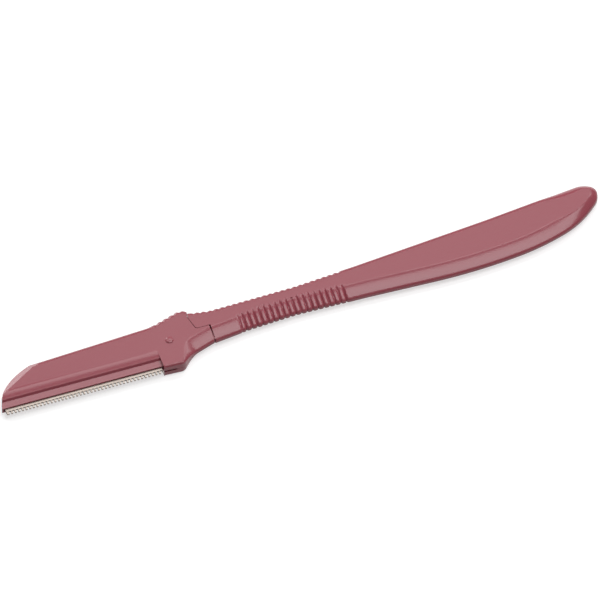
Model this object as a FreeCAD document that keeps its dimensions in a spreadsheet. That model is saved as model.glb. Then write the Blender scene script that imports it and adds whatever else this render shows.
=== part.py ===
import FreeCAD, Part
import Sketcher
import math
import os
import re

# Eyebrow razor, lying on its back. Millimetres.
# X runs from the blade's tip to the handle's tail, Y towards the spine, Z out of the front face.
# The origin is the middle of the finger grip, on the handle's flat back.
# Every piece is drawn about its own middle plane, which lies half a thickness above the rest surface.

doc = FreeCAD.newDocument("eyebrow_razor")
sizes = doc.addObject("Spreadsheet::Sheet", "sizes")

SIZES = [
    # Whole razor
    ("thickness", 3.4),
    ("edge_land", 0.2),
    ("grip_offset", 20.2),
    ("fit_gap", 0.06),
    ("overrun", 2.0),
    # Handle
    ("handle_length", 96.6),
    ("handle_spread", 15.5),
    ("stub_length", 6.8),
    ("shoulder_gap", 0.35),
    ("tab_length", 3.8),
    ("tab_lean", 0.75),
    ("tab_drop", 1.45),
    ("tab_nose_rise", 2.1),
    ("tab_nose_round", 0.25),
    ("tab_corner_round", 0.6),
    ("tongue_thickness", 1.5),
    ("tongue_reach", 12.4),
    ("tongue_root", 1.6),
    ("tongue_top", 2.0),
    ("tongue_shoulder", 4.6),
    ("tongue_slope", 3.8),
    ("tongue_wall", 0.5),
    ("tine_length", 2.5),
    ("tine_round", 0.5),
    # Finger grip
    ("lower_pitch", 1.34),
    ("lower_run", 24.12),
    ("upper_pitch", 1.45),
    ("upper_run", 34.8),
    ("groove_width", 0.56),
    ("groove_depth", 0.3),
    ("groove_sink", 0.03),
    ("groove_reach", 1.5),
    ("groove_run_out", 0.35),
    ("notch_width", 0.9),
    ("notch_depth", 0.6),
    # Blade head
    ("head_length", 51.8),
    ("nose_length", 12.3),
    ("spine_rise", 1.5),
    ("hump_foot", 13.0),
    ("hump_foot_rise", 2.95),
    ("hump_foot_round", 6.0),
    ("hump_crest", 5.62),
    ("hump_rise", 5.33),
    ("hump_brow", 4.13),
    ("hump_brow_rise", 5.15),
    ("hump_end_rise", 3.9),
    ("hump_pitch", 1.5),
    ("hump_run", 7.5),
    ("collar_drop", 5.1),
    ("throat_drop", 6.75),
    ("heel_ahead", 13.5),
    ("heel_drop", 10.15),
    ("heel_round", 1.3),
    ("heel_front_rise", 0.25),
    ("heel_edge_round", 0.6),
    ("lip_rise", 1.4),
    ("strip_width", 1.6),
    ("strip_fall", 0.34),
    ("step_land", 0.01),
    ("bevel_back", 6.95),
    ("bevel_drop", 1.85),
    ("bevel_angle", 31.0),
    ("bevel_slope", 35.0),
    ("heel_slit_width", 0.44),
    ("heel_slit_depth", 1.5),
    ("heel_slit_length", 3.0),
    # Blade and its seat
    ("blade_thickness", 0.25),
    ("blade_margin", 0.52),
    ("blade_inset", 0.9),
    ("blade_end_gap", 0.5),
    ("blade_edge_rise", 0.12),
    ("blade_grind", 0.8),
    ("blade_tip_land", 0.03),
    ("peg_radius", 0.65),
    ("peg_height", 0.9),
    ("peg_root", 0.8),
    ("peg_clear", 0.7),
    ("peg_inset", 6.0),
    # Comb guard
    ("guard_stand", 0.1),
    ("guard_sheet", 0.15),
    ("guard_height", 3.0),
    ("guard_inset", 0.4),
    ("guard_end_gap", 0.3),
    ("guard_end_slope", 0.45),
    ("slot_pitch", 0.86),
    ("slot_width", 0.5),
    ("slot_height", 0.75),
    # Catch pin
    ("pin_drop", 2.8),
    ("pin_radius", 0.75),
    ("pip_radius", 0.95),
    ("pip_height", 0.32),
    ("pip_crown_radius", 0.65),
    ("pin_recess", 0.15),
]
HEEL_BACK_SHARE = 0.674
THROAT_BACK_SHARE = 0.474
THROAT_ROUND_SHARE = 0.741
GROOVE_FACETS = 4

for row, (alias, value) in enumerate(SIZES, start=1):
    sizes.set(f"A{row}", str(value))
    sizes.setAlias(f"A{row}", alias)
doc.recompute()

# Places that several pieces share, as sums of the sizes
COLLAR = "-grip_offset"
SHOULDER = f"{COLLAR} + shoulder_gap"
TIP = f"{COLLAR} - head_length"
HEEL = f"{COLLAR} - heel_ahead"
TONGUE_TIP = f"{COLLAR} - tongue_reach"
PIN_X = f"{TONGUE_TIP} + tine_length"
PIN_Y = "-pin_drop"
TONGUE_LOW = "-collar_drop + tongue_wall"
TONGUE_HIGH = f"2 * ({PIN_Y}) - ({TONGUE_LOW})"
HALF = "thickness / 2"
EDGE_ROUND = "(thickness - edge_land) / 2"
STRIP_LEVEL = "thickness / 4"
ROLL_RADIUS = "(thickness / 4 - step_land)"
LIP = "-heel_drop + lip_rise"
STEP = f"{LIP} + strip_width"
GUARD_LOW = "-heel_drop - guard_stand"
GUARD_TOP = f"{GUARD_LOW} + guard_height"
PEG_Y = f"{GUARD_TOP} + peg_clear + peg_radius"
BLADE_TOP = f"{PEG_Y} + peg_radius + blade_margin"
SEAT_RADIUS = "(pin_radius + 2 * fit_gap)"
GUARD_HALF = "(blade_thickness / 2 + fit_gap / 2 + guard_sheet)"

# The handle's outline from the stub inside the head, along the top, round the tail and back below.
# Each corner is a share of the handle's length and a share of its spread, then the share and the name
# of what its rounding follows. Those hidden in a groove or in the head have no rounding.
BOW = "handle_length * handle_length / handle_spread"
HANDLE_CORNER_SHARES = [
    (-0.070, 0.300),
    (0.0148, 0.211),
    (0.2250, 0.236),
    (0.385, 0.311, 0.1925, BOW),
    (0.722, 0.509, 0.3321, BOW),
    (0.9710, 0.687, 0.0538, "handle_length"),
    (1.0050, 0.579, 0.1452, "handle_spread"),
    (0.9965, 0.353, 0.2968, "handle_spread"),
    (0.931, -0.003, 0.0398, BOW),
    (0.815, -0.228, 0.0995, BOW),
    (0.647, -0.339, 0.2166, BOW),
    (0.385, -0.270, 0.0963, BOW),
    (0.209, -0.248, 0.0241, BOW),
    (0.0858, -0.293),
    (-0.070, -0.415),
]

NAMES = re.compile(r"[a-z]+(?:_[a-z]+)*")


def number(text):
    """Value of an expression in the sheet's names."""
    return float(sizes.evalExpression(text))


def linked(text):
    """The same expression as another object has to write it."""
    return NAMES.sub(lambda found: "sizes." + found.group(0), text)


def spot(x, y):
    return FreeCAD.Vector(number(x), number(y), 0)


def origin_part(body, role):
    """A plane or an axis of the body's own origin."""
    return [part for part in body.Origin.OriginFeatures if part.Role == role][0]


def new_body(name):
    """A body whose middle plane lies half a thickness above the rest surface."""
    body = doc.addObject("PartDesign::Body", name)
    body.setExpression(".Placement.Base.z", linked(HALF))
    return body


def new_sketch(body, name, role, offset):
    sketch = body.newObject("Sketcher::SketchObject", name)
    sketch.AttachmentSupport = [(origin_part(body, role), "")]
    sketch.MapMode = "FlatFace"
    sketch.setExpression(".AttachmentOffset.Base.z", linked(offset))
    return sketch


def constrain(sketch, kind, *where, size=None):
    """Adds a constraint, whose value follows the sheet where it has one."""
    if size is None:
        sketch.addConstraint(Sketcher.Constraint(kind, *where))
        return
    index = sketch.addConstraint(Sketcher.Constraint(kind, *where, number(size)))
    if NAMES.search(size):
        sketch.setExpression(f"Constraints[{index}]", linked(size))


def place_point(sketch, geometry, end, x, y):
    constrain(sketch, "DistanceX", -1, 1, geometry, end, size=x)
    constrain(sketch, "DistanceY", -1, 1, geometry, end, size=y)


def arc_centre(start, direction, stop):
    """Centre of the circle that leaves start along direction and passes stop."""
    chord = stop - start
    normal = FreeCAD.Vector(-direction.y, direction.x, 0).normalize()
    radius = chord.dot(chord) / (2 * chord.dot(normal))
    return start + normal * radius


def arc_between(start, centre, stop, direction):
    """The arc about centre that leaves start along direction and ends at stop."""
    chord = stop - start
    bulge = FreeCAD.Vector(-chord.y, chord.x, 0)
    if bulge.dot(direction) < 0:
        bulge = bulge * -1
    bulge.Length = (start - centre).Length
    return Part.Arc(start, centre + bulge, stop)


def end_at(sketch, geometry, point):
    """1 or 2: the end of a line or an arc that lies at the point."""
    first = (sketch.getPoint(geometry, 1) - point).Length
    second = (sketch.getPoint(geometry, 2) - point).Length
    return 1 if first < second else 2


def draw(body, name, role, path, offset="0"):
    """A closed sketch. The path lists its corners: (x, y), or (x, y, radius) for a rounded one.
    "arc" after a corner makes the next run an arc tangent to the run before it. The other runs are
    straight."""
    sketch = new_sketch(body, name, role, offset)
    corners = []
    runs = []
    for step in path:
        if isinstance(step, tuple):
            corners.append(step)
            runs.append("line")
        else:
            runs[-1] = step
    count = len(corners)
    spots = [spot(corner[0], corner[1]) for corner in corners]
    entries = list(spots)
    exits = list(spots)
    for i, corner in enumerate(corners):
        if len(corner) == 3:
            back = (spots[i - 1] - spots[i]).normalize()
            ahead = (spots[(i + 1) % count] - spots[i]).normalize()
            reach = number(corner[2]) / math.tan(back.getAngle(ahead) / 2)
            entries[i] = spots[i] + back * reach
            exits[i] = spots[i] + ahead * reach
    lines = []
    for i, run in enumerate(runs):
        start = exits[i]
        stop = entries[(i + 1) % count]
        if run == "line":
            lines.append(sketch.addGeometry(Part.LineSegment(start, stop), False))
        else:
            direction = start - exits[i - 1]
            arc = arc_between(start, arc_centre(start, direction, stop), stop, direction)
            lines.append(sketch.addGeometry(arc, False))
    for i, corner in enumerate(corners):
        before = lines[i - 1]
        after = lines[i]
        end = end_at(sketch, before, entries[i])
        start = end_at(sketch, after, exits[i])
        if len(corner) == 3:
            back = (entries[i] - spots[i]).normalize()
            ahead = (exits[i] - spots[i]).normalize()
            inward = (back + ahead).normalize()
            centre = spots[i] + inward * (number(corner[2]) / math.sin(back.getAngle(ahead) / 2))
            rounding = arc_between(entries[i], centre, exits[i], spots[i] - entries[i])
            arc = sketch.addGeometry(rounding, False)
            constrain(sketch, "Tangent", before, end, arc, end_at(sketch, arc, entries[i]))
            constrain(sketch, "Tangent", after, start, arc, end_at(sketch, arc, exits[i]))
            constrain(sketch, "Radius", arc, size=corner[2])
            mark = sketch.addGeometry(Part.Point(spots[i]), True)
            constrain(sketch, "PointOnObject", mark, 1, before)
            constrain(sketch, "PointOnObject", mark, 1, after)
            place_point(sketch, mark, 1, corner[0], corner[1])
        elif runs[i] == "arc":
            constrain(sketch, "Tangent", before, end, after, start)
            place_point(sketch, after, start, corner[0], corner[1])
        else:
            constrain(sketch, "Coincident", before, end, after, start)
            place_point(sketch, after, start, corner[0], corner[1])
    return sketch


def draw_circles(body, name, circles, offset="0"):
    """Circles in the middle plane, each (x, y, radius)."""
    sketch = new_sketch(body, name, "XY_Plane", offset)
    for x, y, radius in circles:
        circle = Part.Circle(spot(x, y), FreeCAD.Vector(0, 0, 1), number(radius))
        geometry = sketch.addGeometry(circle, False)
        place_point(sketch, geometry, 3, x, y)
        constrain(sketch, "Radius", geometry, size=radius)
    return sketch


def extrude(body, kind, sketch, length, reverse=False, both_ways=False):
    """A pad or a pocket of the sketch."""
    feature = body.newObject(kind, sketch.Name + "_" + kind.split("::")[1].lower())
    feature.Profile = sketch
    feature.setExpression("Length", linked(length))
    feature.SideType = "Symmetric" if both_ways else "One side"
    feature.Reversed = reverse
    sketch.Visibility = False
    doc.recompute()
    return feature


def pad(body, sketch, length, **how):
    return extrude(body, "PartDesign::Pad", sketch, length, **how)


def pocket(body, sketch, length, **how):
    return extrude(body, "PartDesign::Pocket", sketch, length, **how)


def round_edges(body, base, name, radius, wanted):
    """A fillet on the edges of the base that the test picks."""
    edges = [f"Edge{i}" for i, edge in enumerate(base.Shape.Edges, start=1) if wanted(edge)]
    fillet = body.newObject("PartDesign::Fillet", name)
    fillet.Base = (base, edges)
    fillet.setExpression("Radius", linked(radius))
    doc.recompute()
    return fillet


def lies_at(edge, level):
    """True for an edge that runs at one height."""
    box = edge.BoundBox
    near = 1e-4 * number("thickness")
    return abs(box.ZMin - level) < near and abs(box.ZMax - level) < near


def height_range(sketch, x):
    """Lowest and highest point of the sketched outline at one place along the razor."""
    far = number("handle_length")
    line = Part.makeLine(FreeCAD.Vector(x, -far, 0), FreeCAD.Vector(x, far, 0))
    cut = Part.Face(sketch.Shape).common(line).BoundBox
    return cut.YMin, cut.YMax


def flat_face(*corners):
    return Part.Face(Part.makePolygon([*corners, corners[0]]))


def groove_rod(x, edge, side, run):
    """A rod of diamond section bent round the razor's edge, which leaves a V groove there. At its
    ends it climbs out of the flat faces."""
    middle_level = number(HALF)
    bend = middle_level - number("groove_sink")
    deep = number("groove_depth")
    wide = number("groove_width") / 2
    turn = math.pi / GROOVE_FACETS
    stations = [(-run, bend + deep, 0)]
    for step in range(GROOVE_FACETS + 1):
        angle = turn * step
        stations.append((bend * math.sin(angle), bend * math.cos(angle), angle))
    stations.append((-run, -bend - deep, math.pi))
    rings = []
    for out, up, angle in stations:
        middle = FreeCAD.Vector(x, edge + side * (out - middle_level), middle_level + up)
        away = FreeCAD.Vector(0, side * math.sin(angle), math.cos(angle)) * deep
        across = FreeCAD.Vector(wide, 0, 0)
        rings.append([middle + across, middle + away, middle - across, middle - away])
    faces = [flat_face(*rings[0]), flat_face(*rings[-1])]
    for ring, after in zip(rings, rings[1:]):
        for k in range(len(ring)):
            next_k = (k + 1) % len(ring)
            faces.append(flat_face(ring[k], ring[next_k], after[next_k], after[k]))
    return Part.makeSolid(Part.makeShell(faces))


def notch_rod(x, edge):
    """A straight rod of diamond section across the razor's edge, which leaves a V notch there."""
    deep = number("notch_depth")
    wide = number("notch_width") / 2
    corners = [(wide, 0), (0, deep), (-wide, 0), (0, -deep)]
    loop = [FreeCAD.Vector(x + along, edge + across, 0) for along, across in corners]
    return flat_face(*loop).extrude(FreeCAD.Vector(0, 0, number("thickness")))


def edge_row(name, outline, side, first, pitch, run):
    """Cutting rods at even steps along the outline: grooves that wrap the lower edge (-1), whose reach
    onto the faces swells to the middle of the row, or notches across the upper edge (1)."""
    rods = []
    steps = round(number(f"({run}) / ({pitch})"))
    for i in range(steps + 1):
        x = number(f"{first} + {pitch} * {i}")
        low, high = height_range(outline, x)
        if side > 0:
            rods.append(notch_rod(x, high))
        else:
            swell = math.sin(math.pi * i / steps)
            run = number("groove_run_out") + number("groove_reach") * swell
            rods.append(groove_rod(x, low, side, run))
    tool = doc.addObject("Part::Feature", name)
    tool.Shape = Part.makeCompound(rods)
    return tool


def cut(name, base, tool):
    """Cuts the tool from the base. The result bears the piece's name."""
    piece = doc.addObject("Part::Cut", name)
    piece.Base = base
    piece.Tool = tool
    doc.recompute()
    return piece


def seam_path(gap):
    """Where the head stops and the handle's tab begins. The gap moves the line into the head."""
    return [
        (f"{COLLAR} - tab_length + tab_lean / 2 - {gap}", "hump_rise + overrun"),
        (f"{COLLAR} - tab_length + tab_lean / 2 - {gap}", f"hump_rise - {EDGE_ROUND}"),
        (f"{COLLAR} - tab_length - {gap}", "tab_nose_rise", "tab_nose_round"),
        (f"{COLLAR} - tab_length + tab_lean - {gap}", f"-tab_drop - {gap}", "tab_corner_round"),
    ]


# Handle: the outline is padded, its edge is rounded, the seam is cut and the tongue is added
moulding = new_body("handle_moulding")
corner_names = []
for along, across, *rounding in HANDLE_CORNER_SHARES:
    corner = (f"{COLLAR} + handle_length * {along}", f"handle_spread * {across}")
    if rounding:
        corner += (f"{rounding[0]} * {rounding[1]}",)
    corner_names.append(corner)
handle_outline = draw(moulding, "handle_outline", "XY_Plane", corner_names)
handle_pad = pad(moulding, handle_outline, "thickness", both_ways=True)
half = number(HALF)
stub = number(f"{COLLAR} - stub_length / 2")
round_edges(moulding, handle_pad, "handle_rounding", EDGE_ROUND,
            lambda edge: (lies_at(edge, half) or lies_at(edge, -half)) and edge.BoundBox.XMax > stub)

seam = draw(moulding, "handle_seam", "XY_Plane", seam_path("0") + [
    (SHOULDER, "-tab_drop"),
    (SHOULDER, "-heel_drop"),
    (f"{COLLAR} - stub_length - overrun", "-heel_drop"),
    (f"{COLLAR} - stub_length - overrun", "hump_rise + overrun"),
])
pocket(moulding, seam, "thickness + overrun", both_ways=True)

tongue = draw(moulding, "tongue", "XY_Plane", [
    (f"{SHOULDER} + tongue_root", "tongue_top"),
    (f"{COLLAR} - tongue_shoulder", "tongue_top"),
    (f"{COLLAR} - tongue_shoulder - tongue_slope", TONGUE_HIGH),
    (TONGUE_TIP, TONGUE_HIGH, "tine_round"),
    (TONGUE_TIP, TONGUE_LOW, "tine_round"),
    (f"{SHOULDER} + tongue_root", TONGUE_LOW),
])
pad(moulding, tongue, "tongue_thickness", both_ways=True)
mouth = draw(moulding, "fork_mouth", "XY_Plane", [
    (PIN_X, f"{PIN_Y} + pin_radius + fit_gap"),
    (f"{TONGUE_TIP} - overrun", f"{PIN_Y} + pin_radius + fit_gap"),
    (f"{TONGUE_TIP} - overrun", f"{PIN_Y} - pin_radius - fit_gap"),
    (PIN_X, f"{PIN_Y} - pin_radius - fit_gap"),
])
pocket(moulding, mouth, "tongue_thickness + overrun", both_ways=True)
seat = draw_circles(moulding, "fork_seat", [(PIN_X, PIN_Y, SEAT_RADIUS)])
pocket(moulding, seat, "tongue_thickness + overrun", both_ways=True)

lower_grip = edge_row("lower_grip", handle_outline, -1, "-lower_run / 2", "lower_pitch", "lower_run")
UPPER_FIRST = f"{COLLAR} - tab_length + tab_lean + upper_pitch"
upper_grip = edge_row("upper_grip", handle_outline, 1, UPPER_FIRST, "upper_pitch", "upper_run")
handle = cut("handle", cut("handle_below", moulding, lower_grip), upper_grip)


# Blade head: two shells that mirror each other about the middle plane
NOSE = (f"{TIP} + nose_length", "spine_rise")
HUMP_FOOT = (f"{COLLAR} - hump_foot", "hump_foot_rise")
SPINE_MIDDLE = (f"({NOSE[0]} + {HUMP_FOOT[0]}) / 2", "(spine_rise + hump_foot_rise) / 2")
SPINE_END = (f"2 * ({NOSE[0]}) - ({HUMP_FOOT[0]})", "2 * spine_rise - hump_foot_rise")
BLADE_SPAN = "(head_length - heel_ahead)"
PEG_PLACES = (f"{TIP} + peg_inset", f"{HEEL} - peg_inset")


def shell_outline(body, name):
    """The head without its nose: the spine runs straight on past the tip."""
    return draw(body, name, "XY_Plane", [
        (HEEL, LIP),
        (HEEL, "-heel_drop + heel_front_rise"),
        (f"{COLLAR} - heel_ahead * {HEEL_BACK_SHARE}", "-heel_drop", "heel_round"),
        (f"{COLLAR} - heel_ahead * {THROAT_BACK_SHARE}", "-throat_drop",
         f"heel_ahead * {THROAT_ROUND_SHARE}"),
        (COLLAR, "-collar_drop"),
        (COLLAR, "hump_end_rise"),
        (f"{COLLAR} - hump_brow", "hump_brow_rise"),
        (f"{COLLAR} - hump_crest", "hump_rise"),
        HUMP_FOOT + ("hump_foot_round",),
        SPINE_END,
        (SPINE_END[0], LIP),
    ])


def cut_nose(body, name):
    """Cuts the nose's curve, an arc that leaves the spine smoothly and ends at the lip."""
    sketch = draw(body, name, "XY_Plane", [
        SPINE_MIDDLE,
        NOSE,
        "arc",
        (TIP, LIP),
        (TIP, f"{LIP} - overrun"),
        (f"{SPINE_END[0]} - overrun", f"{LIP} - overrun"),
        (f"{SPINE_END[0]} - overrun", "hump_rise + overrun"),
        (SPINE_MIDDLE[0], "hump_rise + overrun"),
    ])
    return pocket(body, sketch, "thickness + overrun", both_ways=True)


def cut_bevel(body, name, side):
    """The crescent flat that slopes to the nose's edge. Its sketch lies in the slope, and the pocket
    takes what stands above."""
    angle = math.radians(number("bevel_angle"))
    slope = math.radians(number("bevel_slope"))
    along = FreeCAD.Vector(math.cos(angle), math.sin(angle), 0) * side
    outward = FreeCAD.Vector(-math.sin(angle), math.cos(angle), 0)
    down_slope = outward * math.cos(slope) - FreeCAD.Vector(0, 0, side) * math.sin(slope)
    sketch = draw(body, name, "XY_Plane", [
        ("-nose_length", "-overrun"),
        ("nose_length", "-overrun"),
        ("nose_length", "nose_length"),
        ("-nose_length", "nose_length"),
    ])
    turn = FreeCAD.Rotation(along, down_slope, along.cross(down_slope), "XYZ")
    sketch.AttachmentOffset = FreeCAD.Placement(FreeCAD.Vector(), turn)
    for axis, place in zip("xyz", (f"{TIP} + bevel_back", "-bevel_drop", f"{side} * {HALF}")):
        sketch.setExpression(f".AttachmentOffset.Base.{axis}", linked(place))
    doc.recompute()
    return pocket(body, sketch, "thickness", reverse=True)


def add_shell(name, side):
    """One half of the head. The side is 1 for the front and -1 for the back."""
    away = side < 0
    body = new_body(name + "_moulding")
    outline = shell_outline(body, name + "_outline")
    blank = pad(body, outline, HALF, reverse=away)
    face = side * number(HALF)
    upper = round_edges(body, blank, name + "_spine_rounding", EDGE_ROUND,
                        lambda edge: lies_at(edge, face) and edge.BoundBox.YMax > 0
                        and edge.BoundBox.XLength > edge.BoundBox.YLength)
    heel = number(HEEL)
    round_edges(body, upper, name + "_heel_rounding", "heel_edge_round",
                lambda edge: lies_at(edge, face) and edge.BoundBox.YMax < -number("collar_drop") / 2
                and edge.BoundBox.XMin >= heel - number("fit_gap")
                and edge.BoundBox.XLength > number("fit_gap"))
    cut_nose(body, name + "_nose")
    cut_bevel(body, name + "_bevel", side)

    # The recess along the blade, with its rolled-off upper edge
    roll_end = f"{STEP} + 2 * {ROLL_RADIUS}"
    recess = draw(body, name + "_recess", "YZ_Plane", [
        (f"{LIP} - overrun", f"{side} * ({HALF} + overrun)"),
        (roll_end, f"{side} * ({HALF} + overrun)"),
        (roll_end, f"{side} * {HALF}"),
        (STEP, f"{side} * {HALF}", ROLL_RADIUS),
        (STEP, f"{side} * {STRIP_LEVEL}"),
        (f"{LIP} - overrun", f"{side} * ({STRIP_LEVEL} - strip_fall)"),
    ], offset=HEEL)
    pocket(body, recess, f"{BLADE_SPAN} + overrun")

    # The slot for the blade and the guard's leaves
    slot = draw(body, name + "_slot", "YZ_Plane", [
        ("-heel_drop - overrun", "0"),
        ("-heel_drop - overrun", f"{side} * ({GUARD_HALF} + fit_gap / 2)"),
        (f"{GUARD_TOP} + fit_gap", f"{side} * ({GUARD_HALF} + fit_gap / 2)"),
        (f"{GUARD_TOP} + fit_gap", f"{side} * (blade_thickness + fit_gap) / 2"),
        (f"{BLADE_TOP} + fit_gap", f"{side} * (blade_thickness + fit_gap) / 2"),
        (f"{BLADE_TOP} + fit_gap", "0"),
    ], offset=f"{HEEL} - fit_gap")
    pocket(body, slot, f"{BLADE_SPAN} - guard_inset")

    # The slit under the heel
    slit = draw(body, name + "_slit", "XY_Plane", [
        (f"{HEEL} - overrun", "-heel_drop - overrun"),
        (f"{HEEL} + heel_slit_length", "-heel_drop - overrun"),
        (f"{HEEL} + heel_slit_length", "-heel_drop + heel_slit_depth"),
        (f"{HEEL} - overrun", "-heel_drop + heel_slit_depth"),
    ])
    pocket(body, slit, "heel_slit_width / 2", reverse=not away)

    # The pocket that takes the handle's tongue
    hold = draw(body, name + "_pocket", "XY_Plane", [
        (f"{COLLAR} + overrun", "tongue_top + fit_gap"),
        (f"{COLLAR} - tongue_shoulder - fit_gap", "tongue_top + fit_gap"),
        (f"{COLLAR} - tongue_shoulder - tongue_slope - fit_gap", f"{TONGUE_HIGH} + fit_gap"),
        (f"{TONGUE_TIP} - fit_gap", f"{TONGUE_HIGH} + fit_gap"),
        (f"{TONGUE_TIP} - fit_gap", f"{TONGUE_LOW} - fit_gap"),
        (f"{COLLAR} + overrun", f"{TONGUE_LOW} - fit_gap"),
    ])
    pocket(body, hold, "tongue_thickness / 2 + fit_gap", reverse=not away)

    # The place of the handle's tab
    tab = draw(body, name + "_seam", "XY_Plane", seam_path("fit_gap") + [
        (f"{COLLAR} + overrun", "-tab_drop - fit_gap"),
        (f"{COLLAR} + overrun", "hump_rise + overrun"),
    ])
    pocket(body, tab, "thickness + overrun", both_ways=True)

    hole = draw_circles(body, name + "_pin_hole", [(PIN_X, PIN_Y, "pin_radius + fit_gap / 2")])
    pocket(body, hole, "thickness + overrun", both_ways=True)

    if side > 0:
        sockets = draw_circles(body, name + "_sockets",
                               [(x, PEG_Y, "peg_radius + fit_gap / 2") for x in PEG_PLACES])
        pocket(body, sockets, "peg_height + fit_gap", reverse=True)
    else:
        studs = draw_circles(body, name + "_pegs", [(x, PEG_Y, "peg_radius") for x in PEG_PLACES],
                             offset="-peg_root")
        pad(body, studs, "peg_height + peg_root")
    return body, outline


front, head_outline = add_shell("front", 1)
back, _ = add_shell("back", -1)
HUMP_FIRST = f"{COLLAR} - hump_foot + hump_pitch"
hump_grip = edge_row("hump_grip", head_outline, 1, HUMP_FIRST, "hump_pitch", "hump_run")
front_shell = cut("head_front_shell", front, hump_grip)
back_shell = cut("head_back_shell", back, hump_grip)


# Blade: a strip with its lower edge ground to a wedge and two holes for the pegs
blade = new_body("blade")
EDGE = f"{GUARD_LOW} + guard_sheet + fit_gap + blade_edge_rise"
blade_section = draw(blade, "blade_section", "YZ_Plane", [
    (EDGE, "-blade_tip_land / 2"),
    (f"{EDGE} + blade_grind", "-blade_thickness / 2"),
    (BLADE_TOP, "-blade_thickness / 2"),
    (BLADE_TOP, "blade_thickness / 2"),
    (f"{EDGE} + blade_grind", "blade_thickness / 2"),
    (EDGE, "blade_tip_land / 2"),
], offset=f"{TIP} + blade_inset")
pad(blade, blade_section, f"{BLADE_SPAN} - blade_inset - blade_end_gap")
blade_holes = draw_circles(blade, "blade_holes",
                           [(x, PEG_Y, "peg_radius + fit_gap") for x in PEG_PLACES])
pocket(blade, blade_holes, "thickness", both_ways=True)


# Comb guard: one sheet folded round the cutting edge, then slotted across the fold
guard = new_body("comb_guard")
BEND = f"({GUARD_LOW} + {GUARD_HALF})"
INNER = f"({GUARD_HALF} - guard_sheet)"
FOLD_SHARES = [(0.0, 1.0), (0.71, 0.71), (1.0, 0.0), (0.71, -0.71), (0.0, -1.0)]
outer_fold = [(f"{BEND} - {GUARD_HALF} * {down}", f"{GUARD_HALF} * {out}") for down, out in FOLD_SHARES]
guard_section = draw(guard, "guard_section", "YZ_Plane", [
    (GUARD_TOP, GUARD_HALF),
    *outer_fold,
    (GUARD_TOP, f"-{GUARD_HALF}"),
    (GUARD_TOP, f"-{INNER}"),
    (BEND, f"-{INNER}"),
    (f"{BEND} - {INNER}", "0"),
    (BEND, INNER),
    (GUARD_TOP, INNER),
], offset=f"{TIP} + guard_inset")
GUARD_LENGTH = f"{BLADE_SPAN} - guard_inset - guard_end_gap"
pad(guard, guard_section, GUARD_LENGTH)
guard_end = draw(guard, "guard_end", "XY_Plane", [
    (f"{TIP} + guard_inset - overrun", f"{GUARD_LOW} - overrun"),
    (f"{TIP} + guard_inset + guard_end_slope + overrun * guard_end_slope / guard_height",
     f"{GUARD_LOW} - overrun"),
    (f"{TIP} + guard_inset", GUARD_TOP),
    (f"{TIP} + guard_inset - overrun", GUARD_TOP),
])
pocket(guard, guard_end, "thickness", both_ways=True)
first_slot = f"{TIP} + guard_inset + guard_end_slope + slot_pitch / 2"
guard_slot = draw(guard, "guard_slot", "XY_Plane", [
    (first_slot, f"{GUARD_LOW} - overrun"),
    (f"{first_slot} + slot_width", f"{GUARD_LOW} - overrun"),
    (f"{first_slot} + slot_width", f"{GUARD_LOW} + slot_height"),
    (first_slot, f"{GUARD_LOW} + slot_height"),
])
one_slot = pocket(guard, guard_slot, "thickness", both_ways=True)
slot_room = f"{GUARD_LENGTH} - guard_end_slope - slot_pitch / 2 - slot_width"
steps = math.floor(number(f"({slot_room}) / slot_pitch"))
comb = guard.newObject("PartDesign::LinearPattern", "comb")
comb.Originals = [one_slot]
comb.Direction = (origin_part(guard, "X_Axis"), [""])
comb.setExpression("Length", linked(f"slot_pitch * {steps}"))
comb.Occurrences = steps + 1
guard.Tip = comb
doc.recompute()


# Catch pin: a headed pin through both shells, whose domed head is the pip on the front
pin = doc.addObject("PartDesign::Body", "catch_pin")
pin.setExpression(".Placement.Base.x", linked(PIN_X))
pin.setExpression(".Placement.Base.y", linked(PIN_Y))
pin_section = draw(pin, "pin_section", "XZ_Plane", [
    ("0", "pin_recess"),
    ("pin_radius", "pin_recess"),
    ("pin_radius", "thickness"),
    ("pip_radius", "thickness"),
    ("pip_crown_radius", "thickness + pip_height"),
    ("0", "thickness + pip_height"),
])
turned = pin.newObject("PartDesign::Revolution", "pin_revolution")
turned.Profile = pin_section
turned.ReferenceAxis = (pin_section, ["V_Axis"])
turned.Angle = 360
doc.recompute()

pieces = {
    "handle": handle,
    "head_front_shell": front_shell,
    "head_back_shell": back_shell,
    "blade": blade,
    "comb_guard": guard,
    "catch_pin": pin,
}
for item in doc.Objects:
    if "Invalid" in item.State or "Error" in item.State:
        raise RuntimeError(f"{item.Name} failed: {item.State}")
for name, piece in pieces.items():
    piece.Label = name
    if len(piece.Shape.Solids) != 1 or not piece.Shape.isValid():
        raise RuntimeError(f"{name} is not one valid solid")

os.makedirs("parts", exist_ok=True)
for name, piece in pieces.items():
    piece.Shape.exportStep(os.path.join("parts", name + ".step"))
    box = piece.Shape.BoundBox
    print(f"{name}: {len(piece.Shape.Solids)} solid, volume {piece.Shape.Volume:.2f},",
          f"X {box.XMin:.2f} to {box.XMax:.2f}, Y {box.YMin:.2f} to {box.YMax:.2f},",
          f"Z {box.ZMin:.2f} to {box.ZMax:.2f}")
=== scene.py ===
# %% [markdown]
# # Eyebrow razor
# A slim beauty tool that lies flat on a white table: a long rose plastic handle with a leaf-shaped tail,
# and a blade head with a metal comb guard. The solids come from the CAD model in metres. This lesson gives
# them their looks: it rebuilds the pieces whose surface the solids only hint at, and wires every finish.
# Lengths are written in millimetres, and MM turns them into Blender's metres.

import math

import bpy
from mathutils import Matrix, Vector
from mathutils.kdtree import KDTree


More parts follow.
